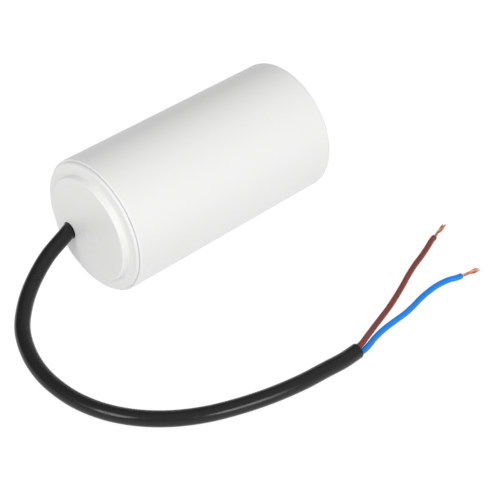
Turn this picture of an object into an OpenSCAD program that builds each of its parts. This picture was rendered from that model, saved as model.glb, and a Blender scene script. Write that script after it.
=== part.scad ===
// Motor run capacitor with a two-core lead.
// A round moulded case lies on its side, with its axis along X and its floor at z = 0.
// The lid and its lead point along -X, the closed base along +X, and x = 0 is midway between them.
// All sizes are in millimetres.

/* [Case] */
// Outside diameter of the case
case_d = 50; // [44:0.5:60]
// Length of the case from its rim to its base
case_length = 90.6; // [84:0.2:120]
// Thickness of the case wall
case_wall = 2; // [1.5:0.1:3]
// Thickness of the closed base
base_thickness = 2.2; // [1.5:0.1:4]
// Rounding of the outer edge of the base
base_edge_r = 0.8; // [0.3:0.1:1.4]
// Rounding of the outer edge of the rim
rim_edge_r = 0.4; // [0.2:0.05:0.8]
// Fillet inside the case where the wall meets the base
base_fillet_r = 1.2; // [0.5:0.1:2.5]

/* [Lid] */
// Step from the case wall in to the side of the lid flange
flange_inset = 0.85; // [0.6:0.05:1.3]
// Height of the flange above the rim
flange_height = 1.2; // [1:0.1:1.8]
// Rounding of the outer corner of the flange
flange_corner_r = 0.5; // [0.2:0.05:0.8]
// Diameter of the raised middle of the lid
plateau_d = 39.6; // [38:0.2:41]
// Rise of the raised middle above the flange
plateau_rise = 2.4; // [1.6:0.1:3.4]
// Rounding of the edge of the raised middle
plateau_edge_r = 0.6; // [0.3:0.05:1]
// Fillet at the foot of the raised middle
plateau_foot_r = 0.4; // [0.1:0.05:0.6]
// Thickness of the lid plate
lid_thickness = 2; // [1.5:0.1:2.2]
// Length of the spigot that enters the case
spigot_length = 6; // [3:0.5:8]
// Wall of the spigot
spigot_wall = 1.6; // [1.2:0.1:2]
// Radial gap between the spigot and the case
spigot_clearance = 0.1; // [0.05:0.05:0.3]
// Diameter of the round moulding mark near the centre of the lid
mark_d = 6.8; // [4:0.2:9]
// Width of the groove of the moulding mark
mark_groove_w = 0.3; // [0.2:0.05:0.8]
// Depth of the groove of the moulding mark
mark_groove_depth = 0.1; // [0.1:0.05:0.4]
// Distance of the moulding mark from the axis, along -Y
mark_shift = 2.4; // [0:0.1:4]
// Distance of the moulding mark below the axis
mark_drop = 1; // [0:0.1:2]

/* [Cable hole] */
// Diameter of the cable hole at the outer face of the lid
hole_d = 6.2; // [6.1:0.1:7]
// Distance of the cable hole from the centre of the lid
hole_offset = 12; // [11:0.25:13]
// Angle of the cable hole below the +Y direction
hole_angle = 30; // [24:1:36]

/* [Cable] */
// Outside diameter of the cable sheath
cable_d = 5.5; // [5:0.1:5.6]
// Outside diameter of one insulated core
core_d = 2.1; // [1.8:0.1:2.1]
// Length of the bare wire at the end of the brown core
brown_bare_length = 9.5; // [5:0.5:12]
// Length of the bare wire at the end of the blue core
blue_bare_length = 8; // [5:0.5:12]
// Diameter of one wire strand
strand_d = 0.36; // [0.2:0.02:0.4]
// Outward lean of the outer strands in degrees
strand_splay = 3; // [1:0.5:6]
// Depth of the sheath behind the outer face of the lid
sheath_embed = 7; // [5:0.5:8]
// Distance between the centres of the two cores in the sheath
core_pitch = 2.2; // [2.1:0.05:2.4]

/* [Winding] */
// Length of the wound film between the end contacts
film_length = 67; // [55:1:80]
// Thickness of the sprayed metal on each end of the film
contact_thickness = 0.8; // [0.4:0.1:1.2]
// Thickness of the outer wrap of the winding
wrap_thickness = 0.3; // [0.2:0.05:0.6]
// Radial gap of resin between the wrap and the case
resin_gap = 0.7; // [0.4:0.1:2]
// Depth of resin between the base and the winding
rear_gap = 6; // [6:0.5:9]
// Outside diameter of the mandrel that the film is wound on
mandrel_d = 12; // [9:0.5:15]
// Bore of the mandrel
mandrel_bore = 8.4; // [6:0.2:8.4]
// Length of mandrel that stands out of each end contact
mandrel_stub = 0.8; // [0.4:0.1:1.5]

/* [Solder] */
// Diameter of a solder joint on an end contact
solder_d = 5.2; // [4:0.2:6]
// Height of a solder joint
solder_height = 2; // [1.4:0.1:2.4]
// Distance of the rear solder joint from the axis
solder_offset = 12; // [11:0.5:15]

/* [Hidden] */
$fn = 96;
slack = 1;

// Case and lid
case_r = case_d / 2;
bore_r = case_r - case_wall;
axis_z = case_r;
flange_r = case_r - flange_inset;
plateau_r = plateau_d / 2;
lid_height = flange_height + plateau_rise;
spigot_r = bore_r - spigot_clearance;
spigot_bore_r = spigot_r - spigot_wall;
overall_length = lid_height + case_length;
lid_face_x = -overall_length / 2;
rim_x = lid_face_x + lid_height;
underside_x = rim_x - flange_height + lid_thickness;
base_x = overall_length / 2;
base_inner_x = base_x - base_thickness;

// Winding
pack_r = bore_r - resin_gap;
film_r = pack_r - wrap_thickness;
rear_face_x = base_inner_x - rear_gap;
film_rear_x = rear_face_x - contact_thickness;
film_front_x = film_rear_x - film_length;
front_face_x = film_front_x - contact_thickness;

// The cable leans in its hole, and its axis crosses the outer face of the lid at the hole's centre.
// The hole widens inwards by the lean, so that the cable clears it all the way.
hole_y = hole_offset * cos(hole_angle);
hole_z = axis_z - hole_offset * sin(hole_angle);
hole_point = [lid_face_x, hole_y, hole_z];
lean = unit([-19, -5, -4]);
hole_flare = 2 * norm([lean[1], lean[2]]) / abs(lean[0]);
sheath_start = hole_point - lean * sheath_embed;

// Route of the free part of the sheath: it droops to the floor, turns back and runs along the can.
sheath_route = concat([sheath_start], [
    [-49.9, 9.65, 18.4], [-60, 6.8, 16.1], [-70, 2, 13.2], [-77.5, -3.3, 10.7],
    [-84, -10.3, 8.3], [-88, -18.8, 6.2], [-89.8, -28, 4.4], [-89.6, -37, 3.3],
    [-88, -46, 2.8], [-84.5, -55.5, 2.8], [-79, -64, 2.8], [-71.5, -71.5, 2.8],
    [-62.5, -77.5, 2.8], [-52.5, -82, 2.8], [-41.5, -85.6, 2.8], [-29.5, -88.2, 2.8],
    [-19, -89.4, 2.8], [-12, -90.2, 2.8], [-5, -90.2, 2.8]
]);

// Routes of the two cores on the floor, from the end of the sheath to the end of their insulation
brown_route = [
    [-5, -89.4, 3.5], [-4, -89.4, 3.5], [-2.5, -89.25, 3.45], [-1, -88.8, 3.35], [1.6, -87.75, 2.95],
    [4.6, -86.5, 2.3], [9, -84.8, 1.6], [14.5, -82.9, 1.1], [20, -81.2, 1.1], [26, -79, 1.1],
    [32, -76.6, 1.1], [38, -74, 1.1], [44, -71.7, 1.1], [50, -69.8, 1.1], [56, -67.6, 1.1],
    [59, -66.4, 1.1], [61.4, -65.7, 1.1]
];
blue_route = [
    [-5, -91.1, 2.2], [-4, -91.1, 2.2], [-2.5, -91, 2.15], [-1, -90.7, 2.05], [1.5, -90, 1.85],
    [4.5, -89, 1.5], [8, -88.1, 1.2], [12.5, -87.5, 1.1], [17, -87.3, 1.1], [22, -87.1, 1.1],
    [27, -86.4, 1.1], [32, -85.4, 1.1], [37, -84.8, 1.1], [42, -84.7, 1.1], [47, -85.5, 1.1],
    [49.5, -86.5, 1.1], [51.9, -87.1, 1.1]
];

// The cores go on inside the resin, one above the other, from the buried end of the sheath.
core_shift = unit(cross(cross(lean, [0, 0, 1]), lean)) * core_pitch / 2;
brown_start = sheath_start + core_shift;
blue_start = sheath_start - core_shift;
front_joint = [front_face_x, brown_start[1] + 1, brown_start[2] + 1];
rear_joint = [rear_face_x, solder_offset, axis_z];
bend = core_d * 1.2;
rear_turn_x = rear_face_x + rear_gap / 2;
brown_lead_route = [
    brown_start, brown_start - lean * core_d,
    [front_face_x - solder_height - core_d, front_joint[1], front_joint[2]],
    [front_face_x - solder_height / 3, front_joint[1], front_joint[2]]
];
blue_lead_route = [
    blue_start, blue_start - lean * core_d / 2,
    [front_face_x - 3.6 * core_d, blue_start[1] * 0.75, (3 * blue_start[2] + axis_z) / 4],
    [front_face_x - 2.6 * core_d, blue_start[1] * 0.3, (3 * axis_z + blue_start[2]) / 4],
    [front_face_x - mandrel_stub - bend / 2, 0, axis_z],
    [film_front_x, 0, axis_z],
    [rear_face_x + mandrel_stub, 0, axis_z],
    [rear_turn_x, bend / 2, axis_z], [rear_turn_x + bend / 4, bend * 1.5, axis_z],
    [rear_turn_x + bend / 4, solder_offset - bend, axis_z],
    [rear_turn_x - bend / 4, solder_offset, axis_z],
    [rear_face_x + solder_height / 3, solder_offset, axis_z]
];

case_color = [0.93, 0.93, 0.92];
sheath_color = [0.08, 0.08, 0.08];
brown_color = [0.45, 0.2, 0.18];
blue_color = [0.1, 0.48, 0.9];
copper_color = [0.8, 0.48, 0.34];
solder_color = [0.7, 0.71, 0.73];
zinc_color = [0.6, 0.61, 0.63];
film_color = [0.82, 0.84, 0.86];
mandrel_color = [0.85, 0.82, 0.7];
wrap_color = [0.9, 0.8, 0.35];
resin_color = [0.2, 0.19, 0.18];

// Vector helpers
function unit(v) = v / norm(v);
function segment_dir(path, i) = unit(path[i + 1] - path[i]);
function ring_dir(path, i) =
    i == 0 ? segment_dir(path, 0)
    : i == len(path) - 1 ? segment_dir(path, i - 1)
    : unit(segment_dir(path, i - 1) + segment_dir(path, i));
function ring(path, i, r, sides) =
    let (along = ring_dir(path, i), side = unit(cross(along, [0, 0, 1])), up = cross(side, along))
    [for (k = [0 : sides - 1]) path[i] + r * (cos(360 * k / sides) * side + sin(360 * k / sides) * up)];

// A round cord swept along a list of points, with flat ends
module swept_cord(path, d, sides) {
    last = len(path) - 1;
    points = [for (i = [0 : last]) each ring(path, i, d / 2, sides)];
    walls = [
        for (i = [0 : last - 1], k = [0 : sides - 1])
            let (a = i * sides + k, b = i * sides + (k + 1) % sides)
            each [[a, b, b + sides], [a, b + sides, a + sides]]
    ];
    start_cap = [for (k = [sides - 1 : -1 : 0]) k];
    end_cap = [for (k = [0 : sides - 1]) last * sides + k];
    polyhedron(points, concat([start_cap], walls, [end_cap]), convexity = 10);
}

// A half section with its outer far corner rounded, for rotate_extrude
module rounded_section(r, h, corner) {
    square([r, h - corner]);
    square([r - corner, h]);
    translate([r - corner, h - corner]) intersection() {
        circle(corner, $fn = 48);
        square(corner);
    }
}

// Places a revolved piece with its axis along +X or -X, its foot at x
module on_axis(x, towards_base = true) {
    translate([x, 0, axis_z]) rotate([0, towards_base ? 90 : -90, 0]) children();
}

// A plain round disc or tube on the axis of the can
module axial_tube(x_from, x_to, r_outer, r_inner = 0) {
    on_axis(x_from) difference() {
        cylinder(h = x_to - x_from, r = r_outer);
        if (r_inner > 0) translate([0, 0, -slack]) cylinder(h = x_to - x_from + 2 * slack, r = r_inner);
    }
}

// Moulded case: a deep cup with a rounded rim and base edge
module case() {
    color(case_color) on_axis(rim_x) rotate_extrude() difference() {
        intersection() {
            rounded_section(case_r, case_length, base_edge_r);
            translate([0, case_length]) mirror([0, 1]) rounded_section(case_r, case_length, rim_edge_r);
        }
        translate([0, -slack])
            rounded_section(bore_r, case_length - base_thickness + slack, base_fillet_r);
    }
}

// Fillet in the corner between the flange face and the side of the raised middle
module foot_fillet() {
    translate([plateau_r, flange_height]) difference() {
        square(plateau_foot_r);
        translate([plateau_foot_r, plateau_foot_r]) circle(plateau_foot_r, $fn = 48);
    }
}

// Half section of the lid, with its height away from the rim
module lid_section() {
    difference() {
        union() {
            rounded_section(flange_r, flange_height, flange_corner_r);
            rounded_section(plateau_r, lid_height, plateau_edge_r);
            foot_fillet();
            translate([0, -spigot_length]) square([spigot_r, spigot_length + slack]);
        }
        translate([0, -spigot_length - slack])
            square([plateau_r - lid_thickness, spigot_length + slack + lid_height - lid_thickness]);
        translate([0, -spigot_length - slack])
            square([spigot_bore_r, spigot_length + slack + flange_height - lid_thickness]);
    }
}

// Cone that cuts the cable hole, exactly hole_d across at the outer face
module hole_cutter() {
    translate([lid_face_x - slack, hole_y, hole_z]) rotate([0, 90, 0])
        cylinder(
            h = lid_thickness + 2 * slack,
            d1 = hole_d - slack * hole_flare,
            d2 = hole_d + (lid_thickness + slack) * hole_flare
        );
}

// Ring that cuts the shallow groove of the moulding mark
module mark_cutter() {
    translate([lid_face_x - slack, -mark_shift, axis_z - mark_drop]) rotate([0, 90, 0]) difference() {
        cylinder(h = slack + mark_groove_depth, d = mark_d);
        translate([0, 0, -slack]) cylinder(h = 4 * slack, d = mark_d - 2 * mark_groove_w);
    }
}

module lid() {
    color(case_color) difference() {
        on_axis(rim_x, false) rotate_extrude() lid_section();
        hole_cutter();
        mark_cutter();
    }
}

module cable_sheath() {
    color(sheath_color) swept_cord(sheath_route, cable_d, 12);
}

module brown_core() {
    color(brown_color) swept_cord(brown_route, core_d, 8);
}

module blue_core() {
    color(blue_color) swept_cord(blue_route, core_d, 8);
}

// Seven wire strands that fan out a little from the end of a core
module strands(route, bare_length) {
    tip = route[len(route) - 1];
    along = segment_dir(route, len(route) - 2);
    translate(tip) rotate([0, 90, atan2(along[1], along[0])]) {
        cylinder(h = bare_length, d = strand_d, $fn = 16);
        for (turn = [0 : 60 : 300])
            rotate([0, 0, turn]) translate([strand_d * 1.08, 0, 0]) intersection() {
                rotate([0, strand_splay, 0]) translate([0, 0, -slack])
                    cylinder(h = bare_length + slack, d = strand_d, $fn = 16);
                translate([-core_d, -core_d, 0]) cube([3 * core_d, 2 * core_d, bare_length]);
            }
    }
}

module brown_strands() {
    color(copper_color) strands(brown_route, brown_bare_length);
}

module blue_strands() {
    color(copper_color) strands(blue_route, blue_bare_length);
}

module brown_inner_lead() {
    color(brown_color) swept_cord(brown_lead_route, core_d, 8);
}

module blue_inner_lead() {
    color(blue_color) swept_cord(blue_lead_route, core_d, 8);
}

// A low cone of solder on an end contact, rising along -X or +X
module solder_cone(point, towards_base) {
    translate(point) rotate([0, towards_base ? 90 : -90, 0])
        cylinder(h = solder_height, d1 = solder_d, d2 = core_d * 1.3);
}

module front_solder_joint() {
    color(solder_color) difference() {
        solder_cone(front_joint, false);
        brown_inner_lead();
    }
}

module rear_solder_joint() {
    color(solder_color) difference() {
        solder_cone(rear_joint, true);
        blue_inner_lead();
    }
}

module film_winding() {
    color(film_color) axial_tube(film_front_x, film_rear_x, film_r, mandrel_d / 2);
}

module winding_mandrel() {
    color(mandrel_color)
        axial_tube(front_face_x - mandrel_stub, rear_face_x + mandrel_stub, mandrel_d / 2, mandrel_bore / 2);
}

module front_end_contact() {
    color(zinc_color) axial_tube(front_face_x, film_front_x, film_r, mandrel_d / 2);
}

module rear_end_contact() {
    color(zinc_color) axial_tube(film_rear_x, rear_face_x, film_r, mandrel_d / 2);
}

module winding_wrap() {
    color(wrap_color) axial_tube(front_face_x, rear_face_x, pack_r, film_r);
}

// The space that the resin fills, before the pieces in it are taken out
module resin_space() {
    on_axis(rim_x) rotate_extrude()
        rounded_section(bore_r, base_inner_x - rim_x, base_fillet_r);
}

// Resin cast round the winding, the leads and the buried end of the sheath
module potting_resin() {
    color(resin_color) difference() {
        union() {
            difference() {
                resin_space();
                axial_tube(rim_x - slack, rim_x + spigot_length, case_r);
            }
            axial_tube(underside_x, rim_x + spigot_length + slack, spigot_bore_r);
            axial_tube(lid_face_x + lid_thickness, underside_x + slack, plateau_r - lid_thickness);
        }
        axial_tube(front_face_x, rear_face_x, pack_r, mandrel_d / 2 - slack);
        winding_mandrel();
        cable_sheath();
        brown_inner_lead();
        blue_inner_lead();
        solder_cone(front_joint, false);
        solder_cone(rear_joint, true);
    }
}

case();
lid();
cable_sheath();
brown_core();
blue_core();
brown_strands();
blue_strands();
brown_inner_lead();
blue_inner_lead();
front_solder_joint();
rear_solder_joint();
film_winding();
winding_mandrel();
front_end_contact();
rear_end_contact();
winding_wrap();
potting_resin();
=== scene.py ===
"""A round motor run capacitor with a two-core lead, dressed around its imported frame.

The moulded case and its lid are turned from half sections, and the lead and its two cores are
swept along their routes. The pieces inside the case keep their solids and get their finishes.
All sizes in the classes are in millimetres, and all meshes are in metres.
"""

import logging
import math
from dataclasses import dataclass
from enum import Enum

import bmesh
import bpy
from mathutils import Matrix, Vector


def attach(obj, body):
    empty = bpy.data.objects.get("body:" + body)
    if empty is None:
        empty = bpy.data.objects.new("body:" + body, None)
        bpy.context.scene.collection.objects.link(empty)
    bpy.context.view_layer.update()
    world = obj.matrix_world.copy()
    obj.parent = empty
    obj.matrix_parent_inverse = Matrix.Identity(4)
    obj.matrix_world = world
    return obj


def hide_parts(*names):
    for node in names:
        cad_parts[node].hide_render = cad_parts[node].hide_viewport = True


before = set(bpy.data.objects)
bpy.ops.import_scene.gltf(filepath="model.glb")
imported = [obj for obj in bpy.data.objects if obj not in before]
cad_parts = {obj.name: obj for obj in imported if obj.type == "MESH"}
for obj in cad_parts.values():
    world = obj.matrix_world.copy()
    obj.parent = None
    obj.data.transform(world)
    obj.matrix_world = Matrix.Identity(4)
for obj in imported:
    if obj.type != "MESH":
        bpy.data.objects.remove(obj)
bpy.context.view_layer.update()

logging.basicConfig(level=logging.INFO, format="%(name)s: %(message)s")
log = logging.getLogger("capacitor")

MM = 0.001
TURN = 2 * math.pi
BODY = "root"
STRAIGHT = "straight"
# Points closer than this, in metres, are one point.
WELD = 1e-6
# A face whose normal has this much of X in it is flat, and is not smoothed.
FLAT_ACROSS_X = 0.9999

Point = tuple[float, float, float]
Section = list[tuple[float, float]]
Setting = bpy.types.NodeSocket | bpy.types.ID | float | int | str | bool | tuple


def arc(centre_x: float, centre_r: float, radius: float, start: float, end: float,
        steps: int = 8) -> Section:
    """Points along a rounding of a half section.

    Args:
        centre_x: Place of the centre along the axis.
        centre_r: Distance of the centre from the axis.
        radius: Radius of the rounding.
        start: First angle in degrees, from the direction of the axis.
        end: Last angle in degrees.
        steps: Number of flats that make the rounding.

    Returns:
        The points, the first and the last included.
    """
    angles = [math.radians(start + (end - start) * step / steps) for step in range(steps + 1)]
    return [(centre_x + radius * math.cos(a), centre_r + radius * math.sin(a)) for a in angles]


def smooth_route(points: list[Point], spacing: float) -> list[Vector]:
    """A smooth line through the points of a route.

    Args:
        points: The points that the line goes through.
        spacing: Distance between the points of the line.

    Returns:
        The points of the line, in the units of the route.
    """
    knots = [Vector(p) for p in points]
    knots = [2 * knots[0] - knots[1], *knots, 2 * knots[-1] - knots[-2]]
    line: list[Vector] = []
    for a, b, c, d in zip(knots, knots[1:], knots[2:], knots[3:]):
        steps = max(2, round((c - b).length / spacing))
        first, last = (b - a).length ** 0.5, (d - c).length ** 0.5
        middle = (c - b).length ** 0.5
        leave = (b - a) / first - (c - a) / (first + middle) + (c - b) / middle
        meet = (c - b) / middle - (d - b) / (middle + last) + (d - c) / last
        for step in range(steps):
            t = step / steps
            line.append(
                b * (2 * t**3 - 3 * t**2 + 1) + leave * middle * (t**3 - 2 * t**2 + t)
                + c * (3 * t**2 - 2 * t**3) + meet * middle * (t**3 - t**2)
            )
    line.append(knots[-2])
    return line


def route_length(line: list[Vector]) -> float:
    """Length of a line of points."""
    return sum((b - a).length for a, b in zip(line, line[1:]))


class Graph:
    """Adds nodes to a node tree and joins them."""

    def __init__(self, tree: bpy.types.NodeTree) -> None:
        """Starts on an empty tree.

        Args:
            tree: The tree that the nodes go into.
        """
        self.tree = tree
        tree.nodes.clear()

    def node(self, kind: str, options: dict[str, str | bool] | None = None,
             **sockets: Setting) -> bpy.types.Node:
        """Adds a node.

        Args:
            kind: The node's type name.
            options: Settings of the node itself.
            **sockets: Values or links for its inputs, named as they are, with _ for a space.

        Returns:
            The new node.
        """
        made = self.tree.nodes.new(kind)
        for name, value in (options or {}).items():
            setattr(made, name, value)
        for name, value in sockets.items():
            wanted = name.replace("_", " ").lower()
            socket = next(s for s in made.inputs if s.enabled and s.name.lower() == wanted)
            self.set(socket, value)
        return made

    def set(self, socket: bpy.types.NodeSocket, value: Setting) -> None:
        """Links an input to an output, or gives it a value."""
        if isinstance(value, bpy.types.NodeSocket):
            self.tree.links.new(value, socket)
        else:
            socket.default_value = value

    def math(self, operation: str, *values: Setting) -> bpy.types.NodeSocket:
        """Adds a Math node and returns its result.

        Args:
            operation: What it does.
            *values: Its inputs in order.

        Returns:
            The result.
        """
        made = self.node("ShaderNodeMath", {"operation": operation})
        for socket, value in zip(made.inputs, values):
            self.set(socket, value)
        return made.outputs[0]

    def chain(self, operation: str, first: Setting, *others: Setting) -> bpy.types.NodeSocket:
        """Adds a row of Math nodes, each of which takes the result before it.

        Args:
            operation: What each of them does.
            first: The first input.
            *others: What each node adds to the row.

        Returns:
            The last result.
        """
        for value in others:
            first = self.math(operation, first, value)
        return first

    def vector(self, operation: str, *values: Setting) -> bpy.types.NodeSocket:
        """Adds a Vector Math node and returns its result.

        Args:
            operation: What it does.
            *values: Its inputs in order.

        Returns:
            The result, a vector or a number.
        """
        made = self.node("ShaderNodeVectorMath", {"operation": operation})
        slots = [s for s in made.inputs if s.enabled]
        for socket, value in zip(slots, values):
            self.set(socket, value)
        return next(s for s in made.outputs if s.enabled)

    def combine(self, x: Setting = 0.0, y: Setting = 0.0, z: Setting = 0.0) -> bpy.types.NodeSocket:
        """Adds a Combine XYZ node and returns its vector."""
        return self.node("ShaderNodeCombineXYZ", X=x, Y=y, Z=z).outputs[0]

    def split(self, vector: bpy.types.NodeSocket) -> list[bpy.types.NodeSocket]:
        """Adds a Separate XYZ node and returns its three parts."""
        return list(self.node("ShaderNodeSeparateXYZ", Vector=vector).outputs)

    def noise(self, coordinates: bpy.types.NodeSocket, size: float, detail: float = 2.0,
              ) -> bpy.types.NodeSocket:
        """Adds a noise pattern.

        Args:
            coordinates: What the pattern is laid over, in metres.
            size: Size of its patches in millimetres.
            detail: How many finer layers it has.

        Returns:
            The pattern, from 0 to 1.
        """
        return self.node("ShaderNodeTexNoise", Vector=coordinates, Scale=1 / (size * MM),
                         Detail=detail).outputs["Fac"]

    def spread(self, value: bpy.types.NodeSocket, low: float, high: float,
               start: float = 0.3, end: float = 0.7) -> bpy.types.NodeSocket:
        """Maps a pattern to a range of values.

        Args:
            value: The pattern.
            low: Result where the pattern is at start or under it.
            high: Result where the pattern is at end or over it.
            start: Value of the pattern that gives low.
            end: Value of the pattern that gives high.

        Returns:
            The mapped value.
        """
        made = self.node("ShaderNodeMapRange", Value=value, From_Min=start, From_Max=end,
                         To_Min=low, To_Max=high)
        return made.outputs[0]

    def blend(self, share: bpy.types.NodeSocket, first: Setting, second: Setting,
              ) -> bpy.types.NodeSocket:
        """Mixes two colours by a share and returns the mixed colour.

        Args:
            share: How much of the second colour there is, from 0 to 1.
            first: Colour at 0.
            second: Colour at 1.

        Returns:
            The mixed colour.
        """
        made = self.node("ShaderNodeMix", {"data_type": "RGBA"})
        self.set(made.inputs[0], share)
        for socket, value in zip(made.inputs[6:8], (first, second)):
            self.set(socket, (*value, 1.0) if isinstance(value, tuple) else value)
        return made.outputs[2]


# Finishes

Colour = tuple[float, float, float]


@dataclass(frozen=True)
class Finish:
    """What every finish has: two near colours that drift into each other, and a roughness."""

    name: str
    slot: str
    colour: Colour
    drift: Colour
    roughness: float
    uneven: float = 0.05
    patch: float = 6.0
    grain: float = 0.35
    depth: float = 0.01
    metallic: float = 0.0
    gloss: float = 0.5

    def material(self) -> bpy.types.Material:
        """Builds the material, or returns it if it is there already.

        Returns:
            The material.
        """
        found = bpy.data.materials.get(self.name)
        if found:
            return found
        made = bpy.data.materials.new(self.name)
        made.use_nodes = True
        made.diffuse_color = (*self.colour, 1.0)
        graph = Graph(made.node_tree)
        shader = graph.node("ShaderNodeBsdfPrincipled", Metallic=self.metallic,
                            Specular_IOR_Level=self.gloss)
        output = graph.node("ShaderNodeOutputMaterial")
        graph.set(output.inputs["Surface"], shader.outputs[0])
        place = self.coordinates(graph)
        graph.set(shader.inputs["Base Color"], self.tint(graph, place))
        graph.set(shader.inputs["Roughness"], self.dullness(graph, place))
        bump = graph.node("ShaderNodeBump", Strength=1.0, Distance=self.depth * MM,
                          Height=self.relief(graph, place))
        graph.set(shader.inputs["Normal"], bump.outputs[0])
        return made

    def coordinates(self, graph: Graph) -> bpy.types.NodeSocket:
        """What the patterns are laid over: the place on the object."""
        return graph.node("ShaderNodeTexCoord").outputs["Object"]

    def tint(self, graph: Graph, place: bpy.types.NodeSocket) -> bpy.types.NodeSocket:
        """Colour over the surface."""
        share = graph.spread(graph.noise(place, self.patch), 0.0, 1.0)
        return graph.blend(share, self.colour, self.drift)

    def dullness(self, graph: Graph, place: bpy.types.NodeSocket) -> bpy.types.NodeSocket:
        """Roughness over the surface."""
        return graph.spread(graph.noise(place, self.patch / 3), self.roughness - self.uneven,
                            self.roughness + self.uneven)

    def relief(self, graph: Graph, place: bpy.types.NodeSocket) -> bpy.types.NodeSocket:
        """Height of the fine relief, from 0 to 1."""
        return graph.noise(place, self.grain)


@dataclass(frozen=True)
class MouldedPlastic(Finish):
    """Satin moulded polypropylene, with a fine grain, a slow waviness and a few dark specks."""

    wave: float = 14.0
    speck_cell: float = 9.0
    speck: float = 0.16
    speck_share: float = 0.35
    speck_colour: Colour = (0.42, 0.41, 0.39)

    def tint(self, graph: Graph, place: bpy.types.NodeSocket) -> bpy.types.NodeSocket:
        """Colour over the surface, with specks in it.

        Args:
            graph: The tree of the material.
            place: What the pattern is laid over.

        Returns:
            The colour.
        """
        cells = graph.node("ShaderNodeTexVoronoi", Vector=place, Scale=1 / (self.speck_cell * MM))
        chance = graph.split(cells.outputs["Color"])[0]
        near = graph.math("LESS_THAN", cells.outputs["Distance"], self.speck / self.speck_cell)
        speck = graph.math("MULTIPLY", near, graph.math("LESS_THAN", chance, self.speck_share))
        return graph.blend(speck, super().tint(graph, place), self.speck_colour)

    def relief(self, graph: Graph, place: bpy.types.NodeSocket) -> bpy.types.NodeSocket:
        """Fine grain on a slow waviness."""
        waves = graph.math("MULTIPLY", graph.noise(place, self.wave, 1.0), self.wave / 4)
        return graph.math("ADD", graph.noise(place, self.grain, 3.0), waves)


@dataclass(frozen=True)
class Extruded(Finish):
    """Soft PVC, drawn out in fine streaks along the lead, with a few dull scuffs."""

    stretch: float = 14.0
    scuff: float = 5.0

    def coordinates(self, graph: Graph) -> bpy.types.NodeSocket:
        """The place on the lead as if it were straight, drawn out along it."""
        straight = graph.node("ShaderNodeAttribute", {"attribute_name": STRAIGHT})
        return graph.vector("MULTIPLY", straight.outputs["Vector"], (1.0, 1.0, 1 / self.stretch))

    def dullness(self, graph: Graph, place: bpy.types.NodeSocket) -> bpy.types.NodeSocket:
        """Roughness in streaks, with dull scuffs on them.

        Args:
            graph: The tree of the material.
            place: What the streaks are laid over.

        Returns:
            The roughness.
        """
        object_place = graph.node("ShaderNodeTexCoord").outputs["Object"]
        scuffs = graph.spread(graph.noise(object_place, self.scuff, 4.0), 0.0, 0.12, 0.55, 0.75)
        return graph.math("ADD", super().dullness(graph, place), scuffs)


@dataclass(frozen=True)
class Strands(Finish):
    """Bare copper wire with drawn streaks and darker stretches at random."""

    def relief(self, graph: Graph, place: bpy.types.NodeSocket) -> bpy.types.NodeSocket:
        """Fine drawing marks."""
        return graph.noise(place, self.grain, 4.0)


@dataclass(frozen=True)
class Wound(Finish):
    """Turns of film or tape round the axis of the can."""

    pitch: float = 1.2
    banded: bool = False
    waves_per_unit: float = 20.0

    def relief(self, graph: Graph, place: bpy.types.NodeSocket) -> bpy.types.NodeSocket:
        """Edges of the turns: bands along the axis, or rings round it.

        Args:
            graph: The tree of the material.
            place: What the pattern is laid over.

        Returns:
            The height.
        """
        options = ({"wave_type": "BANDS", "bands_direction": "X"} if self.banded
                   else {"wave_type": "RINGS", "rings_direction": "X"})
        centred = graph.vector("SUBTRACT", place, (0.0, 0.0, CanCase.radius * MM))
        wave = graph.node("ShaderNodeTexWave", {**options, "wave_profile": "SAW"}, Vector=centred,
                          Scale=1 / (self.waves_per_unit * self.pitch * MM), Distortion=0.3)
        return graph.math("ADD", wave.outputs["Fac"], graph.noise(place, self.grain))


@dataclass(frozen=True)
class Cast(Finish):
    """Poured resin with small round blisters."""

    blister: float = 1.5

    def relief(self, graph: Graph, place: bpy.types.NodeSocket) -> bpy.types.NodeSocket:
        """Round blisters on a slow unevenness.

        Args:
            graph: The tree of the material.
            place: What the pattern is laid over.

        Returns:
            The height.
        """
        cells = graph.node("ShaderNodeTexVoronoi", Vector=place, Scale=1 / (self.blister * MM))
        dome = graph.spread(cells.outputs["Distance"], 1.0, 0.0, 0.0, 0.3)
        return graph.math("ADD", dome, graph.noise(place, self.grain * 8))


WHITE_PLASTIC = MouldedPlastic("white_plastic", "white_plastic", (0.86, 0.86, 0.86),
                               (0.84, 0.84, 0.842), 0.5, depth=0.012, grain=0.5, patch=16,
                               gloss=0.3)
BLACK_PVC = Extruded("black_pvc", "black_sheath", (0.0035, 0.0035, 0.004), (0.005, 0.005, 0.0055),
                     0.2, depth=0.01, grain=0.3, patch=2.0, gloss=0.42)
BROWN_PVC = Extruded("brown_pvc", "brown_insulation", (0.245, 0.054, 0.042),
                     (0.21, 0.045, 0.036), 0.36, depth=0.006, grain=0.25, patch=1.2, gloss=0.3)
BLUE_PVC = Extruded("blue_pvc", "blue_insulation", (0.007, 0.245, 0.83), (0.006, 0.22, 0.78),
                    0.36, depth=0.006, grain=0.25, patch=1.2, gloss=0.3)
COPPER = Strands("bare_copper", "copper", (0.95, 0.52, 0.35), (0.6, 0.22, 0.14), 0.3,
                 patch=1.3, grain=0.12, depth=0.004, metallic=1.0)
SOLDER = Finish("solder", "solder", (0.62, 0.63, 0.65), (0.5, 0.5, 0.52), 0.3, 0.08, 1.5,
                0.4, 0.02, 0.9)
ZINC = Finish("sprayed_zinc", "sprayed_zinc", (0.5, 0.51, 0.53), (0.38, 0.39, 0.41), 0.72, 0.08,
              1.8, 0.25, 0.06, 0.8)
FILM = Wound("metallised_film", "metallised_film", (0.72, 0.74, 0.77), (0.66, 0.68, 0.72), 0.3,
             metallic=0.7, depth=0.02, pitch=0.5)
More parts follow.
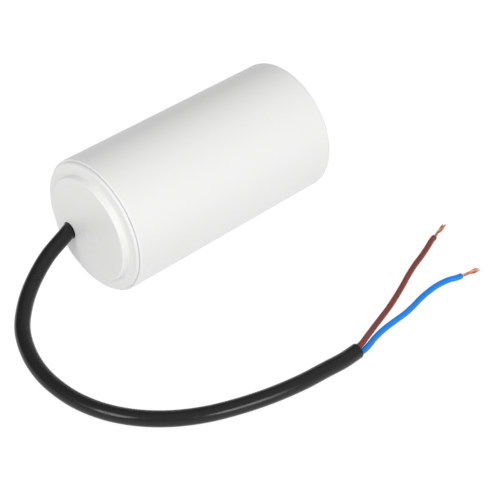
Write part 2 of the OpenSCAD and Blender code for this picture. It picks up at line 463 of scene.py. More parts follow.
MANDREL = Finish("mandrel_plastic", "mandrel_plastic", (0.72, 0.66, 0.47), (0.66, 0.6, 0.42),
                 0.45, depth=0.01)
TAPE = Wound("wrap_tape", "wrap_tape", (0.8, 0.62, 0.12), (0.74, 0.55, 0.09), 0.28, depth=0.04,
             pitch=12, banded=True)
RESIN = Cast("potting_resin", "potting", (0.05, 0.047, 0.044), (0.035, 0.033, 0.031), 0.32,
             depth=0.03)


# Shapes that follow a rule

def new_tree(name: str, sockets: dict[str, str]) -> tuple[Graph, bpy.types.Node]:
    """Starts a geometry tree with named inputs.

    Args:
        name: The tree's name.
        sockets: The socket type of each input, by its name.

    Returns:
        The graph, and the node that gives the inputs.
    """
    tree = bpy.data.node_groups.new(name, "GeometryNodeTree")
    tree.interface.new_socket("Geometry", in_out="OUTPUT", socket_type="NodeSocketGeometry")
    for socket, kind in {"Geometry": "Geometry", **sockets, "Material": "Material"}.items():
        tree.interface.new_socket(socket, in_out="INPUT", socket_type="NodeSocket" + kind)
    graph = Graph(tree)
    return graph, graph.node("NodeGroupInput")


def end_tree(graph: Graph, geometry: bpy.types.NodeSocket, given: bpy.types.Node) -> None:
    """Ends a geometry tree: real geometry, its material and the output.

    Args:
        graph: The tree that the nodes go into.
        geometry: What the tree has made.
        given: Its inputs.
    """
    real = graph.node("GeometryNodeRealizeInstances", Geometry=geometry)
    dressed = graph.node("GeometryNodeSetMaterial", Geometry=real.outputs[0],
                         Material=given.outputs["Material"])
    output = graph.node("NodeGroupOutput")
    graph.set(output.inputs[0], dressed.outputs[0])


def grid_of_rings(graph: Graph, given: bpy.types.Node, around: bpy.types.NodeSocket,
                  ) -> tuple[bpy.types.NodeSocket, ...]:
    """Adds a grid with one column for each step round and one row for each section point.

    Args:
        graph: The tree.
        given: Its inputs, with the section points as its geometry.
        around: Number of steps round.

    Returns:
        The grid, and for each of its points the place along and the two offsets across.
    """
    count = graph.node("GeometryNodeAttributeDomainSize", Geometry=given.outputs["Geometry"])
    rows = count.outputs["Point Count"]
    grid = graph.node("GeometryNodeMeshGrid", Vertices_X=graph.math("ADD", around, 1.0),
                      Vertices_Y=rows)
    index = graph.node("GeometryNodeInputIndex").outputs[0]
    column = graph.math("FLOOR", graph.math("DIVIDE", graph.math("ADD", index, 0.5), rows))
    row = graph.math("SUBTRACT", index, graph.math("MULTIPLY", column, rows))
    sample = graph.node("GeometryNodeSampleIndex", {"data_type": "FLOAT_VECTOR"},
                        Geometry=given.outputs["Geometry"], Index=row,
                        Value=graph.node("GeometryNodeInputPosition").outputs[0])
    angle = graph.math("DIVIDE", graph.math("MULTIPLY", column, TURN), around)
    along, radius, _ = graph.split(sample.outputs[0])
    side = graph.math("MULTIPLY", radius, graph.math("COSINE", angle))
    rise = graph.math("MULTIPLY", radius, graph.math("SINE", angle))
    return grid.outputs["Mesh"], along, side, rise


def close_and_end(graph: Graph, given: bpy.types.Node, mesh: bpy.types.NodeSocket,
                  place: bpy.types.NodeSocket) -> None:
    """Moves the points of a grid, joins those that meet and ends the tree.

    Args:
        graph: The tree.
        given: Its inputs.
        mesh: The grid.
        place: Where its points go.
    """
    moved = graph.node("GeometryNodeSetPosition", Geometry=mesh, Position=place)
    closed = graph.node("GeometryNodeMergeByDistance", Geometry=moved.outputs[0],
                        Distance=given.outputs["Seam"])
    end_tree(graph, closed.outputs[0], given)


def turned_tree() -> bpy.types.NodeTree:
    """Tree that turns a half section, given as points (along X, radius), round the can's axis.

    Returns:
        The tree.
    """
    graph, given = new_tree("turned_section", {
        "Segments": "Int", "Axis Height": "Float", "Seam": "Float"})
    mesh, along, side, rise = grid_of_rings(graph, given, given.outputs["Segments"])
    close_and_end(graph, given, mesh, graph.combine(
        along, side, graph.math("ADD", rise, given.outputs["Axis Height"])))
    return graph.tree


def swept_tree() -> bpy.types.NodeTree:
    """Tree that carries a section, given as points (along the path, radius), round a path.

    Returns:
        The tree.
    """
    graph, given = new_tree("swept_section", {"Path": "Object", "Sides": "Int", "Seam": "Float"})
    mesh, along, side, rise = grid_of_rings(graph, given, given.outputs["Sides"])
    path = graph.node("GeometryNodeObjectInfo", Object=given.outputs["Path"])
    sample = graph.node("GeometryNodeSampleCurve", {"mode": "LENGTH", "use_all_curves": True},
                        Curves=path.outputs["Geometry"], Length=along)
    tangent, normal = sample.outputs["Tangent"], sample.outputs["Normal"]
    across = graph.vector("CROSS_PRODUCT", tangent, normal)
    offset = graph.vector("ADD", graph.vector("SCALE", normal, side),
                          graph.vector("SCALE", across, rise))
    marked = graph.node("GeometryNodeStoreNamedAttribute", {"data_type": "FLOAT_VECTOR"},
                        Geometry=mesh, Name=STRAIGHT, Value=graph.combine(side, rise, along))
    close_and_end(graph, given, marked.outputs[0],
                  graph.vector("ADD", sample.outputs["Position"], offset))
    return graph.tree


def cut_away(graph: Graph, solid: bpy.types.NodeSocket, tool: bpy.types.NodeSocket,
             ) -> bpy.types.NodeSocket:
    """Adds an exact cut of a tool from a solid and returns what is left.

    Args:
        graph: The tree that the nodes go into.
        solid: What is cut.
        tool: The closed shape that is taken away.

    Returns:
        What is left of the solid.
    """
    cut = graph.node("GeometryNodeMeshBoolean", {"operation": "DIFFERENCE", "solver": "EXACT"})
    graph.set(cut.inputs["Mesh 1"], solid)
    graph.set(cut.inputs["Mesh 2"], tool)
    return cut.outputs["Mesh"]


def bored_tree() -> bpy.types.NodeTree:
    """Tree that bores a hole along X that widens inwards, with a small chamfer at its mouth.

    Returns:
        The tree.
    """
    graph, given = new_tree("bored_hole", {
        "Mouth": "Vector", "Diameter": "Float", "Depth": "Float", "Flare": "Float",
        "Chamfer": "Float"})
    radius = graph.math("DIVIDE", given.outputs["Diameter"], 2.0)
    depth, chamfer = given.outputs["Depth"], given.outputs["Chamfer"]
    inner = graph.math("ADD", radius, graph.math("MULTIPLY", depth, given.outputs["Flare"]))
    outer = graph.math("SUBTRACT", radius, graph.math("MULTIPLY", MM, given.outputs["Flare"]))
    clear = graph.math("ADD", radius, graph.math("MULTIPLY", chamfer, 2.0))
    solid = given.outputs["Geometry"]
    for top, bottom, height, start in (
            (inner, outer, graph.math("ADD", depth, MM), MM),
            (radius, clear, graph.math("MULTIPLY", chamfer, 2.0), chamfer)):
        cone = graph.node("GeometryNodeMeshCone", Vertices=96, Radius_Top=top,
                          Radius_Bottom=bottom, Depth=height)
        place = graph.vector("SUBTRACT", given.outputs["Mouth"], graph.combine(start))
        drill = graph.node("GeometryNodeTransform", Geometry=cone.outputs["Mesh"],
                           Translation=place, Rotation=(0.0, math.pi / 2, 0.0))
        solid = cut_away(graph, solid, drill.outputs[0])
    end_tree(graph, solid, given)
    return graph.tree


def marked_tree() -> bpy.types.NodeTree:
    """Tree that cuts a shallow ring in a face across X, a little deeper at its lower side.

    Returns:
        The tree.
    """
    graph, given = new_tree("ring_mark", {
        "Centre": "Vector", "Ring Radius": "Float", "Tool Radius": "Float", "Tilt": "Float"})
    ring = graph.node("GeometryNodeCurvePrimitiveCircle", Resolution=72,
                      Radius=given.outputs["Ring Radius"])
    section = graph.node("GeometryNodeCurvePrimitiveCircle", Resolution=16,
                         Radius=given.outputs["Tool Radius"])
    tool = graph.node("GeometryNodeCurveToMesh", Curve=ring.outputs[0],
                      Profile_Curve=section.outputs[0])
    turn = graph.combine(0.0, graph.math("SUBTRACT", math.pi / 2, given.outputs["Tilt"]))
    placed = graph.node("GeometryNodeTransform", Geometry=tool.outputs[0],
                        Translation=given.outputs["Centre"], Rotation=turn)
    end_tree(graph, cut_away(graph, given.outputs["Geometry"], placed.outputs[0]), given)
    return graph.tree


def strands_tree() -> bpy.types.NodeTree:
    """Tree that makes a twisted bundle of wire strands whose clumps part towards the tip.

    Returns:
        The tree.
    """
    graph, given = new_tree("twisted_strands", {
        "Count": "Int", "Steps": "Int", "Length": "Float", "Strand Radius": "Float",
        "Bundle Radius": "Float", "Clumps": "Int", "Turns": "Float", "Splay": "Float",
        "Stray": "Float", "Ragged": "Float", "Root": "Vector", "Heading": "Float",
        "Seed": "Int"})
    take = given.outputs
    line = graph.node("GeometryNodeCurvePrimitiveLine", End=(1.0, 0.0, 0.0))
    stepped = graph.node("GeometryNodeResampleCurve", Curve=line.outputs[0], Count=take["Steps"])
    roots = graph.node("GeometryNodePoints", Count=take["Count"])
    copies = graph.node("GeometryNodeInstanceOnPoints", Points=roots.outputs[0],
                        Instance=stepped.outputs[0])
    wires = graph.node("GeometryNodeRealizeInstances", Geometry=copies.outputs[0])

    index = graph.node("GeometryNodeInputIndex").outputs[0]
    steps = take["Steps"]
    wire = graph.math("FLOOR", graph.math("DIVIDE", graph.math("ADD", index, 0.5), steps))
    step = graph.math("SUBTRACT", index, graph.math("MULTIPLY", wire, steps))
    part = graph.math("DIVIDE", step, graph.math("SUBTRACT", steps, 1.0))
    late = graph.math("POWER", part, 1.6)
    clump = graph.math("MODULO", wire, take["Clumps"])
    shifts = []
    for owner, share in ((clump, 1.0), (wire, 0.35)):
        chance = graph.node("FunctionNodeRandomValue", {"data_type": "FLOAT_VECTOR"}, ID=owner,
                            Seed=take["Seed"], Min=(-1.0, -1.0, 0.0), Max=(1.0, 1.0, 1.0))
        drift = graph.chain("MULTIPLY", late, take["Stray"], share)
        across, upwards, short = graph.split(chance.outputs[0])
        shifts.append((graph.math("MULTIPLY", across, drift),
                       graph.math("MULTIPLY", upwards, drift), short))

    short = graph.math("MULTIPLY", graph.math("ADD", shifts[0][2], shifts[1][2]), 0.5)
    whole = graph.math("SUBTRACT", 1.0, graph.math("MULTIPLY", short, take["Ragged"]))
    along = graph.chain("MULTIPLY", part, whole, take["Length"])
    twist = graph.chain("MULTIPLY", part, TURN, take["Turns"])
    golden = TURN * (1 - 1 / ((1 + math.sqrt(5)) / 2))
    share = graph.math("DIVIDE", graph.math("ADD", wire, 0.5), take["Count"])
    half = graph.math("DIVIDE", take["Bundle Radius"], 2.0)
    wider = graph.math("ADD", 1.0, graph.math("MULTIPLY", late, take["Splay"]))
    orbit = graph.math("ADD", twist, graph.math(
        "DIVIDE", graph.math("MULTIPLY", clump, TURN), take["Clumps"]))
    spin = graph.math("ADD", graph.math("MULTIPLY", wire, golden),
                      graph.math("MULTIPLY", twist, 2.0))
    placed = []
    for operation, axis in (("COSINE", 0), ("SINE", 1)):
        outer = graph.chain("MULTIPLY", half, wider, graph.math(operation, orbit))
        inner = graph.chain("MULTIPLY", half, graph.math("SQRT", share),
                            graph.math(operation, spin))
        shift = graph.math("ADD", shifts[0][axis], shifts[1][axis])
        placed.append(graph.chain("ADD", outer, inner, shift))
    side, rise = placed
    turned = graph.node("ShaderNodeVectorRotate", {"rotation_type": "Z_AXIS"},
                        Vector=graph.combine(along, side, rise), Angle=take["Heading"])
    moved = graph.node("GeometryNodeSetPosition", Geometry=wires.outputs[0],
                       Position=graph.vector("ADD", turned.outputs[0], take["Root"]))
    round_wire = graph.node("GeometryNodeCurvePrimitiveCircle", Resolution=8,
                            Radius=take["Strand Radius"])
    tube = graph.node("GeometryNodeCurveToMesh", Curve=moved.outputs[0],
                      Profile_Curve=round_wire.outputs[0], Fill_Caps=True)
    end_tree(graph, tube.outputs[0], given)
    return graph.tree


class Workshop:
    """Makes plain meshes from the trees and hands them over to the frame."""

    def __init__(self) -> None:
        """Builds each tree once."""
        self.turned = turned_tree()
        self.swept = swept_tree()
        self.bored = bored_tree()
        self.marked = marked_tree()
        self.strands = strands_tree()

    def blank(self, name: str, section: Section = ()) -> bpy.types.Object:
        """Adds an object whose mesh holds only the points of a section.

        Args:
            name: The piece's name.
            section: Points (along, radius) in millimetres.

        Returns:
            The new object.
        """
        mesh = bpy.data.meshes.new(name)
        mesh.from_pydata([(x * MM, r * MM, 0.0) for x, r in section], [], [])
        made = bpy.data.objects.new(name, mesh)
        bpy.context.scene.collection.objects.link(made)
        return made

    def apply(self, piece: bpy.types.Object, tree: bpy.types.NodeTree, finish: Finish,
              **values: Setting) -> None:
        """Runs a tree on a piece and leaves a plain mesh.

        Args:
            piece: The piece, whose mesh goes into the tree.
            tree: The tree.
            finish: The finish of the result.
            **values: Values for the tree's named inputs, with _ for a space.
        """
        modifier = piece.modifiers.new(tree.name, "NODES")
        modifier.node_group = tree
        values["Material"] = finish.material()
        for item in tree.interface.items_tree:
            key = item.name.replace(" ", "_")
            if item.in_out == "INPUT" and key in values:
                modifier[item.identifier] = values[key]
        bpy.context.view_layer.update()
        graph = bpy.context.evaluated_depsgraph_get()
        mesh = bpy.data.meshes.new_from_object(piece.evaluated_get(graph),
                                               preserve_all_data_layers=True, depsgraph=graph)
        old = piece.data
        piece.modifiers.clear()
        piece.data = mesh
        bpy.data.meshes.remove(old)
        mesh.name = piece.name

    def hand_over(self, piece: bpy.types.Object, nodes: list[str],
                  sharp: float = 35.0) -> None:
        """Turns the faces outwards, smooths them and puts the piece on the frame.

        Args:
            piece: The finished piece.
            nodes: The CAD nodes that it stands for.
            sharp: Angle in degrees from which an edge stays sharp.
        """
        shape = bmesh.new()
        shape.from_mesh(piece.data)
        bmesh.ops.recalc_face_normals(shape, faces=shape.faces)
        loose = sum(1 for edge in shape.edges if not edge.is_manifold)
        shape.to_mesh(piece.data)
        shape.free()
        piece.data.shade_smooth()
        piece.data.set_sharp_from_angle(angle=math.radians(sharp))
        for face in piece.data.polygons:
            face.use_smooth = abs(face.normal.x) < FLAT_ACROSS_X
        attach(piece, BODY)
        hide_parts(*nodes)
        log.info("%s: %d faces, %d open edges, for %s", piece.name, len(piece.data.polygons),
                 loose, ", ".join(nodes))


# The object

@dataclass
class CanCase:
    """The deep moulded cup that lies on its side, open towards -X."""

    radius: float = 25.0
    rim_x: float = -43.5
    base_x: float = 47.1
    wall: float = 2.0
    base: float = 2.2
    rim_edge: float = 0.4
    base_edge: float = 0.8
    fillet: float = 1.2
    gate_radius: float = 2.4
    gate_depth: float = 0.35
    gate_lip: float = 0.12
    gate_nub: float = 0.5
    gate_corner: float = 0.2
    support: float = 0.3
    ring_gap: float = 7.0
    rings: int = 12
    segments: int = 192

    def section(self) -> Section:
        """Half section from the middle of the base round the rim to the middle of the inside.

        Returns:
            Points (along, radius) in millimetres.
        """
        outer, bore = self.radius, self.radius - self.wall
        inside_x = self.base_x - self.base
        gate, dish = self.gate_radius, self.base_x - self.gate_depth
        lip, nub, corner, by = self.gate_lip, self.gate_nub, self.gate_corner, self.support
        base, edge, rim = self.base_x, self.base_edge, self.rim_x + self.rim_edge
        straight = [rim + ring * self.ring_gap for ring in range(1, self.rings + 1)]
        return [
            (dish + lip, 0.0), (dish + lip, nub), (dish, nub + 0.1), (dish, gate - corner - 0.05),
            *arc(dish + corner, gate - corner, corner, 180, 90, 4)[1:],
            (base - lip, gate), *arc(base - lip, gate + lip, lip, -90, 0, 3)[1:],
            (base, gate + 2 * by), (base, outer / 2), (base, outer - edge - by / 2),
            *arc(base - edge, outer - edge, edge, 0, 90),
            (base - edge - by, outer), *[(x, outer) for x in reversed(straight)],
            (rim + by, outer), *arc(rim, outer - self.rim_edge, self.rim_edge, 90, 180),
            (self.rim_x, bore), (self.rim_x + by, bore), (inside_x - self.fillet - by, bore),
            *arc(inside_x - self.fillet, bore - self.fillet, self.fillet, 90, 0, 6),
            (inside_x, bore / 2), (inside_x, 0.0),
        ]

    def build(self, shop: Workshop) -> None:
        """Turns the case and hands it over.

        Args:
            shop: Makes the meshes.
        """
        piece = shop.blank("case_shell", self.section())
        shop.apply(piece, shop.turned, WHITE_PLASTIC, Segments=self.segments,
                   Axis_Height=self.radius * MM, Seam=WELD)
        shop.hand_over(piece, ["case"])


@dataclass
class CanLid:
    """The lid that closes the case: a stepped plate with a spigot, a cable hole and a ring mark."""

    can: CanCase
    flange_radius: float = 24.15
    flange_height: float = 1.2
    corner: float = 0.5
    plateau_radius: float = 19.8
    plateau_rise: float = 2.4
    plateau_edge: float = 0.6
    plateau_foot: float = 0.4
    plate: float = 2.0
    spigot_radius: float = 22.9
    spigot_wall: float = 1.6
    spigot_length: float = 6.0
    mark: tuple[float, float] = (-2.4, 24.0)
    mark_radius: float = 3.25
    mark_depth: float = 0.1
    mark_tool: float = 0.2
    mark_tilt: float = 1.0
    seam: float = 0.14
    seam_edge: float = 0.06
    seam_depth: float = 0.7
    support: float = 0.2
    hole: tuple[float, float] = (10.392, 19.0)
    hole_diameter: float = 6.2
    hole_flare: float = 0.337
    hole_chamfer: float = 0.1

    def section(self) -> Section:
        """Half section from the middle of the outer face round the flange to the inside.

        Returns:
            Points (along, radius) in millimetres.
        """
        rim = self.can.rim_x
        face, flange = rim - self.flange_height - self.plateau_rise, rim - self.flange_height
        edge, foot, corner, by = self.plateau_edge, self.plateau_foot, self.corner, self.support
        outer, under = self.flange_radius, rim - self.seam
        hollow = self.plateau_radius - self.plate
        spigot_bore = self.spigot_radius - self.spigot_wall
        return [
            (face, 0.0), (face, self.plateau_radius / 2), (face, self.plateau_radius - edge - by),
            *arc(face + edge, self.plateau_radius - edge, edge, 180, 90, 5),
            *arc(flange - foot, self.plateau_radius + foot, foot, -90, 0, 5),
            (flange, self.plateau_radius + foot + by), (flange, outer - corner - by),
            *arc(flange + corner, outer - corner, corner, 180, 90, 10),
            (under - self.seam_edge, outer), (under, outer - self.seam_edge),
            (under, outer - self.seam_depth), (rim, outer - self.seam_depth - self.seam),
            (rim, self.spigot_radius + 0.1),
            (rim + 0.1, self.spigot_radius),
            (rim + self.spigot_length - 0.4, self.spigot_radius),
            (rim + self.spigot_length, self.spigot_radius - 0.3),
            (rim + self.spigot_length, spigot_bore), (flange + self.plate, spigot_bore),
            (flange + self.plate, hollow), (face + self.plate, hollow), (face + self.plate, 0.0),
        ]

    def build(self, shop: Workshop) -> None:
        """Turns the lid, bores the cable hole, cuts the ring mark and hands it over.

        Args:
            shop: Makes the meshes.
        """
        piece = shop.blank("lid_moulding", self.section())
        shop.apply(piece, shop.turned, WHITE_PLASTIC, Segments=self.can.segments,
                   Axis_Height=self.can.radius * MM, Seam=WELD)
        face = self.can.rim_x - self.flange_height - self.plateau_rise
        shop.apply(piece, shop.bored, WHITE_PLASTIC, Mouth=tuple(v * MM for v in (face, *self.hole)),
                   Diameter=self.hole_diameter * MM, Depth=(self.plate + 1) * MM,
                   Flare=self.hole_flare, Chamfer=self.hole_chamfer * MM)
        centre = (face + self.mark_depth - self.mark_tool, *self.mark)
        shop.apply(piece, shop.marked, WHITE_PLASTIC, Centre=tuple(v * MM for v in centre),
                   Ring_Radius=self.mark_radius * MM, Tool_Radius=self.mark_tool * MM,
                   Tilt=math.radians(self.mark_tilt))
        shop.hand_over(piece, ["lid"])


def tube_section(length: float, radius: float, wall: float, recess: float,
                 spacing: float) -> Section:
    """Section of a tube with a cut end that is open for a short way.

    Args:
        length: Length of the tube.
        radius: Its outer radius.
        wall: Thickness of its wall at the cut end.
        recess: How deep the cut end is open.
        spacing: Distance between its rings.

    Returns:
        Points (along the path, radius), from the closed start to the bottom of the recess.
    """
    rounding, rings = 0.12, round(length / spacing)
    straight = [(length - rounding) * ring / rings for ring in range(rings + 1)]
    bore = radius - wall
    return [
        (0.0, 0.0), *[(s, radius) for s in straight],
        *arc(length - rounding, radius - rounding, rounding, 90, 0, 3)[1:],
        (length, bore + 0.05), (length - 0.05, bore), (length - recess, bore),
        (length - recess, 0.0),
    ]


def lay_path(name: str, line: list[Vector]) -> bpy.types.Object:
    """Adds a curve object along a line of points in metres.

    Args:
        name: Name of the curve.
        line: The points.

    Returns:
        The curve object.
    """
    curve = bpy.data.curves.new(name, "CURVE")
    curve.dimensions = "3D"
    spline = curve.splines.new("POLY")
    spline.points.add(len(line) - 1)
    for point, place in zip(spline.points, line):
        point.co = (*place, 1.0)
    made = bpy.data.objects.new(name, curve)
    bpy.context.scene.collection.objects.link(made)
    return made


@dataclass
class Cord:
    """A round lead that lies along a route, given in metres."""

    name: str
    node: str
    finish: Finish
    route: list[Point]
    diameter: float
    wall: float
    recess: float
    sides: int
    spacing: float = 0.8

    def build(self, shop: Workshop, start: Point, stiffness: str,
              on_it: list[bpy.types.Object]) -> None:
        """Args:
            shop: Makes the meshes.
            start: The point where it leaves what it comes out of, in metres; not used.
            stiffness: How it bends; not used.
            on_it: The pieces on it; not used.
        """
        line = smooth_route(self.route, self.spacing * MM)
        length = route_length(line)
        path = lay_path(self.name + "_path", line)
        section = tube_section(length / MM, self.diameter / 2, self.wall, self.recess,
                               self.spacing)
        piece = shop.blank(self.name, section)
        shop.apply(piece, shop.swept, self.finish, Path=path, Sides=self.sides, Seam=WELD)
        bpy.data.objects.remove(path)
        shop.hand_over(piece, [self.node])
        log.info("%s: %.1f mm long", self.name, length / MM)


class CoreColour(Enum):
    """The two cores of the lead, by the colour of their insulation."""

    BROWN = "brown"
    BLUE = "blue"


SHEATH_ROUTE: list[Point] = [
    (-0.04047, 0.01214, 0.02040), (-0.0499, 0.00965, 0.0184), (-0.060, 0.0068, 0.0161),
    (-0.070, 0.002, 0.0132), (-0.0775, -0.0033, 0.0107), (-0.084, -0.0103, 0.0083),
    (-0.088, -0.0188, 0.0062), (-0.0898, -0.028, 0.0044), (-0.0896, -0.037, 0.0033),
    (-0.088, -0.046, 0.0028), (-0.0845, -0.0555, 0.0028), (-0.079, -0.064, 0.0028),
    (-0.0715, -0.0715, 0.0028), (-0.0625, -0.0775, 0.0028), (-0.0525, -0.082, 0.0028),
    (-0.0415, -0.0856, 0.0028), (-0.0295, -0.0882, 0.0028), (-0.019, -0.0894, 0.0028),
    (-0.012, -0.0902, 0.0028), (-0.005, -0.0902, 0.0028),
]
CORE_ROUTES: dict[CoreColour, list[Point]] = {
    CoreColour.BROWN: [
        (-0.005, -0.0894, 0.0035), (-0.004, -0.0894, 0.0035), (-0.0025, -0.08925, 0.00345),
        (-0.001, -0.0888, 0.00335), (0.0016, -0.08775, 0.00295), (0.0046, -0.0865, 0.0023),
        (0.009, -0.0848, 0.0016), (0.0145, -0.0829, 0.0011), (0.02, -0.0812, 0.0011),
        (0.026, -0.079, 0.0011), (0.032, -0.0766, 0.0011), (0.038, -0.074, 0.0011),
        (0.044, -0.0717, 0.0011), (0.05, -0.0698, 0.0011), (0.056, -0.0676, 0.0011),
        (0.059, -0.0664, 0.0011), (0.0614, -0.0657, 0.0011),
    ],
    CoreColour.BLUE: [
        (-0.005, -0.0911, 0.0022), (-0.004, -0.0911, 0.0022), (-0.0025, -0.091, 0.00215),
        (-0.001, -0.0907, 0.00205), (0.0015, -0.09, 0.00185), (0.0045, -0.089, 0.0015),
        (0.008, -0.0881, 0.0012), (0.0125, -0.0875, 0.0011), (0.017, -0.0873, 0.0011),
        (0.022, -0.0871, 0.0011), (0.027, -0.0864, 0.0011), (0.032, -0.0854, 0.0011),
        (0.037, -0.0848, 0.0011), (0.042, -0.0847, 0.0011), (0.047, -0.0855, 0.0011),
        (0.0495, -0.0865, 0.0011), (0.0519, -0.0871, 0.0011),
    ],
}
CORE_FINISHES: dict[CoreColour, Finish] = {
    CoreColour.BROWN: BROWN_PVC, CoreColour.BLUE: BLUE_PVC}


@dataclass
class WireCore:
    """One insulated core with its bare, twisted end."""

    colour: CoreColour
    bare: float
    seed: int
    diameter: float = 2.1
    insulation: float = 0.4
    inside_sheath: float = 1.1
    recess: float = 0.5
    strands: int = 24
    strand_diameter: float = 0.2
    bundle_radius: float = 0.55
    clumps: int = 4
    turns: float = 0.45
    splay: float = 0.8
    stray: float = 0.3
    ragged: float = 0.2

    def build_strands(self, shop: Workshop) -> bpy.types.Object:
        """Makes the bare strands that leave the cut end of the insulation.

        Args:
            shop: Makes the meshes.

        Returns:
            The strands, which lie on the core.
        """
        route = CORE_ROUTES[self.colour]
        tip, before = Vector(route[-1]), Vector(route[-2])
        heading = math.atan2(tip.y - before.y, tip.x - before.x)
        back = Vector((math.cos(heading), math.sin(heading), 0.0)) * self.recess * MM
        piece = shop.blank(self.colour.value + "_bare_strands")
        shop.apply(piece, shop.strands, COPPER, Count=self.strands, Steps=24,
                   Length=(self.bare + self.recess) * MM, Strand_Radius=self.strand_diameter * MM / 2,
                   Bundle_Radius=self.bundle_radius * MM, Clumps=self.clumps, Turns=self.turns,
                   Splay=self.splay, Stray=self.stray * MM, Ragged=self.ragged,
                   Root=tuple(tip - back), Heading=heading, Seed=self.seed)
        shop.hand_over(piece, [self.colour.value + "_strands"], 50.0)
        return piece

    def build(self, shop: Workshop) -> None:
        """Args:
            shop: Makes the meshes.
        """
        strands = self.build_strands(shop)
        route = CORE_ROUTES[self.colour]
        start = (route[0][0] - self.inside_sheath * MM, *route[0][1:])
        cord = Cord(self.colour.value + "_insulation", self.colour.value + "_core",
                    CORE_FINISHES[self.colour], [start, *route], self.diameter,
                    self.insulation, self.recess, 24, 0.6)
        cord.build(shop, route[0], "limp", [strands])


@dataclass
class Lead:
    """The two-core lead: its sheath and the two cores that leave its cut end."""

    exit: Point = (-0.0471, 0.01039, 0.0190)
    diameter: float = 5.5
    wall: float = 0.62
    recess: float = 1.3

    def build(self, shop: Workshop) -> None:
        """Builds the sheath and both cores.

        Args:
            shop: Makes the meshes.
        """
        Cord("lead_sheath", "cable_sheath", BLACK_PVC, SHEATH_ROUTE, self.diameter, self.wall,
             self.recess, 32).build(shop, self.exit, "medium", [])
        WireCore(CoreColour.BROWN, 9.5, 3).build(shop)
        WireCore(CoreColour.BLUE, 8.0, 8).build(shop)


@dataclass
class Insides:
    """The wound capacitor and its joints in the resin, which keep their CAD solids."""

    finishes: tuple[tuple[str, Finish], ...] = (
        ("brown_inner_lead", BROWN_PVC), ("blue_inner_lead", BLUE_PVC),
        ("front_solder_joint", SOLDER), ("rear_solder_joint", SOLDER),
        ("film_winding", FILM), ("winding_mandrel", MANDREL),
        ("front_end_contact", ZINC), ("rear_end_contact", ZINC),
        ("winding_wrap", TAPE), ("potting_resin", RESIN),
    )

    def dress(self) -> None:
        """Gives each carried-over node its finish."""
        for name, finish in self.finishes:
            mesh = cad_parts[name].data
            mesh.materials.clear()
            mesh.materials.append(finish.material())
            log.info("%s: finish %s", name, finish.name)


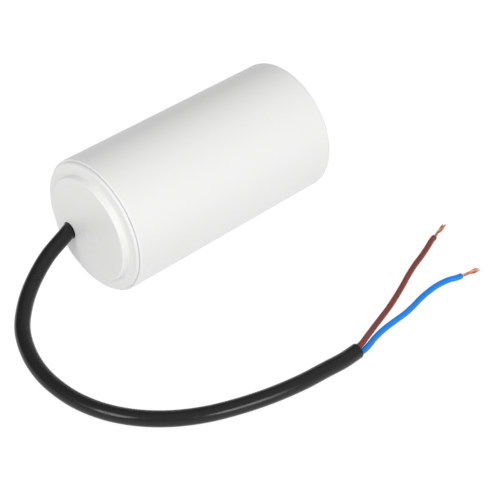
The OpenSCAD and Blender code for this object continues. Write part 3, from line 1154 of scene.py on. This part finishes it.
@dataclass
class Studio:
    """Camera, floor, soft light and surroundings."""

    azimuth: float = -43.08
    elevation: float = 38.99
    distance: float = 0.54953
    lens: float = 109.3
    aim: Point = (0.004856, -0.026867, 0.003346)
    softboxes: tuple[tuple[Point, float], ...] = (
        ((-0.08, -0.92, 0.4), 5.0), ((-0.83, -0.15, 0.56), 5.2))
    softbox_distance: float = 1.4
    softbox_size: float = 0.56
    surroundings: float = 0.55
    brighter_towards: Point = (0.02, -0.1, 0.12)
    darker_towards: Point = (0.1, 0.93, 0.35)
    darker_by: float = 0.25
    darker_between: tuple[float, float] = (0.35, 0.85)
    darkest: float = 0.05
    backdrop_height: tuple[float, float] = (0.02, 0.14)
    floor_colour: Colour = (0.9, 0.9, 0.9)
    floor_glow: float = 1.13
    floor_share: float = 0.8
    floor_size: float = 12.0

    def place_camera(self) -> None:
        """Makes the camera and looks at the object from the viewing angle."""
        a, e = math.radians(self.azimuth), math.radians(self.elevation)
        back = Vector((math.sin(a) * math.cos(e), -math.cos(a) * math.cos(e), math.sin(e)))
        camera = bpy.data.objects.new("camera", bpy.data.cameras.new("camera"))
        bpy.context.scene.collection.objects.link(camera)
        camera.data.lens = self.lens
        camera.data.sensor_width = 36.0
        camera.data.clip_start, camera.data.clip_end = 0.01, 50.0
        camera.location = Vector(self.aim) + back * self.distance
        camera.rotation_euler = (-back).to_track_quat("-Z", "Y").to_euler()
        bpy.context.scene.camera = camera

    def seen(self, graph: Graph, mirrored: Setting = 1.0) -> bpy.types.NodeSocket:
        """1 for a ray from the camera, and a share for one off a gloss or through a clear piece.

        Args:
            graph: The tree that the nodes go into.
            mirrored: The share for a ray off a gloss or through a clear piece.

        Returns:
            The share, from 0 to 1.
        """
        ray = graph.node("ShaderNodeLightPath").outputs
        other = graph.math("MAXIMUM", ray["Is Glossy Ray"], ray["Is Transmission Ray"])
        return graph.math("MAXIMUM", ray["Is Camera Ray"], graph.math("MULTIPLY", other, mirrored))

    def lay_floor(self) -> None:
        """Makes the pale floor, which shows white and keeps a soft shadow."""
        bpy.ops.mesh.primitive_plane_add(size=self.floor_size)
        floor = bpy.context.object
        floor.name = "floor"
        made = bpy.data.materials.new("pale_floor")
        made.use_nodes = True
        graph = Graph(made.node_tree)
        paper = graph.node("ShaderNodeBsdfPrincipled", Base_Color=(*self.floor_colour, 1.0),
                           Roughness=0.9, Specular_IOR_Level=0.1)
        glow = graph.node("ShaderNodeEmission", Strength=self.floor_glow)
        mix = graph.node("ShaderNodeMixShader",
                         Fac=graph.math("MULTIPLY", self.seen(graph), self.floor_share))
        graph.set(mix.inputs[1], paper.outputs[0])
        graph.set(mix.inputs[2], glow.outputs[0])
        output = graph.node("ShaderNodeOutputMaterial")
        graph.set(output.inputs["Surface"], mix.outputs[0])
        floor.data.materials.append(made)

    def light(self) -> None:
        """Makes the soft lights, and surroundings that are brighter above and darker behind."""
        for number, (side, power) in enumerate(self.softboxes, 1):
            lamp = bpy.data.lights.new(f"softbox_{number}", "AREA")
            lamp.size, lamp.energy = self.softbox_size, power
            softbox = bpy.data.objects.new(lamp.name, lamp)
            bpy.context.scene.collection.objects.link(softbox)
            towards = Vector(side).normalized()
            softbox.location = towards * self.softbox_distance
            softbox.rotation_euler = (-towards).to_track_quat("-Z", "Y").to_euler()
        world = bpy.data.worlds.new("surroundings")
        world.use_nodes = True
        graph = Graph(world.node_tree)
        way = graph.node("ShaderNodeTexCoord").outputs["Generated"]
        side = graph.vector("DOT_PRODUCT", way, self.brighter_towards)
        rear = graph.spread(graph.vector("DOT_PRODUCT", way, self.darker_towards), 0.0,
                            self.darker_by, *self.darker_between)
        level = graph.math("SUBTRACT", graph.math("ADD", side, self.surroundings), rear)
        level = graph.math("MAXIMUM", level, self.darkest)
        backdrop = graph.spread(graph.split(way)[2], 1.0, 0.0, *self.backdrop_height)
        seen = self.seen(graph, backdrop)
        strength = graph.math("ADD", level, graph.math(
            "MULTIPLY", seen, graph.math("SUBTRACT", 1.0, level)))
        sky = graph.node("ShaderNodeBackground", Color=(1.0, 1.0, 1.0, 1.0), Strength=strength)
        output = graph.node("ShaderNodeOutputWorld")
        graph.set(output.inputs["Surface"], sky.outputs[0])
        bpy.context.scene.world = world
        bpy.context.scene.view_settings.view_transform = "Standard"


def main() -> None:
    """Sets up the studio and builds each sub-assembly in order."""
    studio = Studio()
    studio.place_camera()
    shop = Workshop()
    Lead().build(shop)
    can = CanCase()
    can.build(shop)
    CanLid(can).build(shop)
    Insides().dress()
    studio.lay_floor()
    studio.light()


if __name__ == "__main__":
    main()
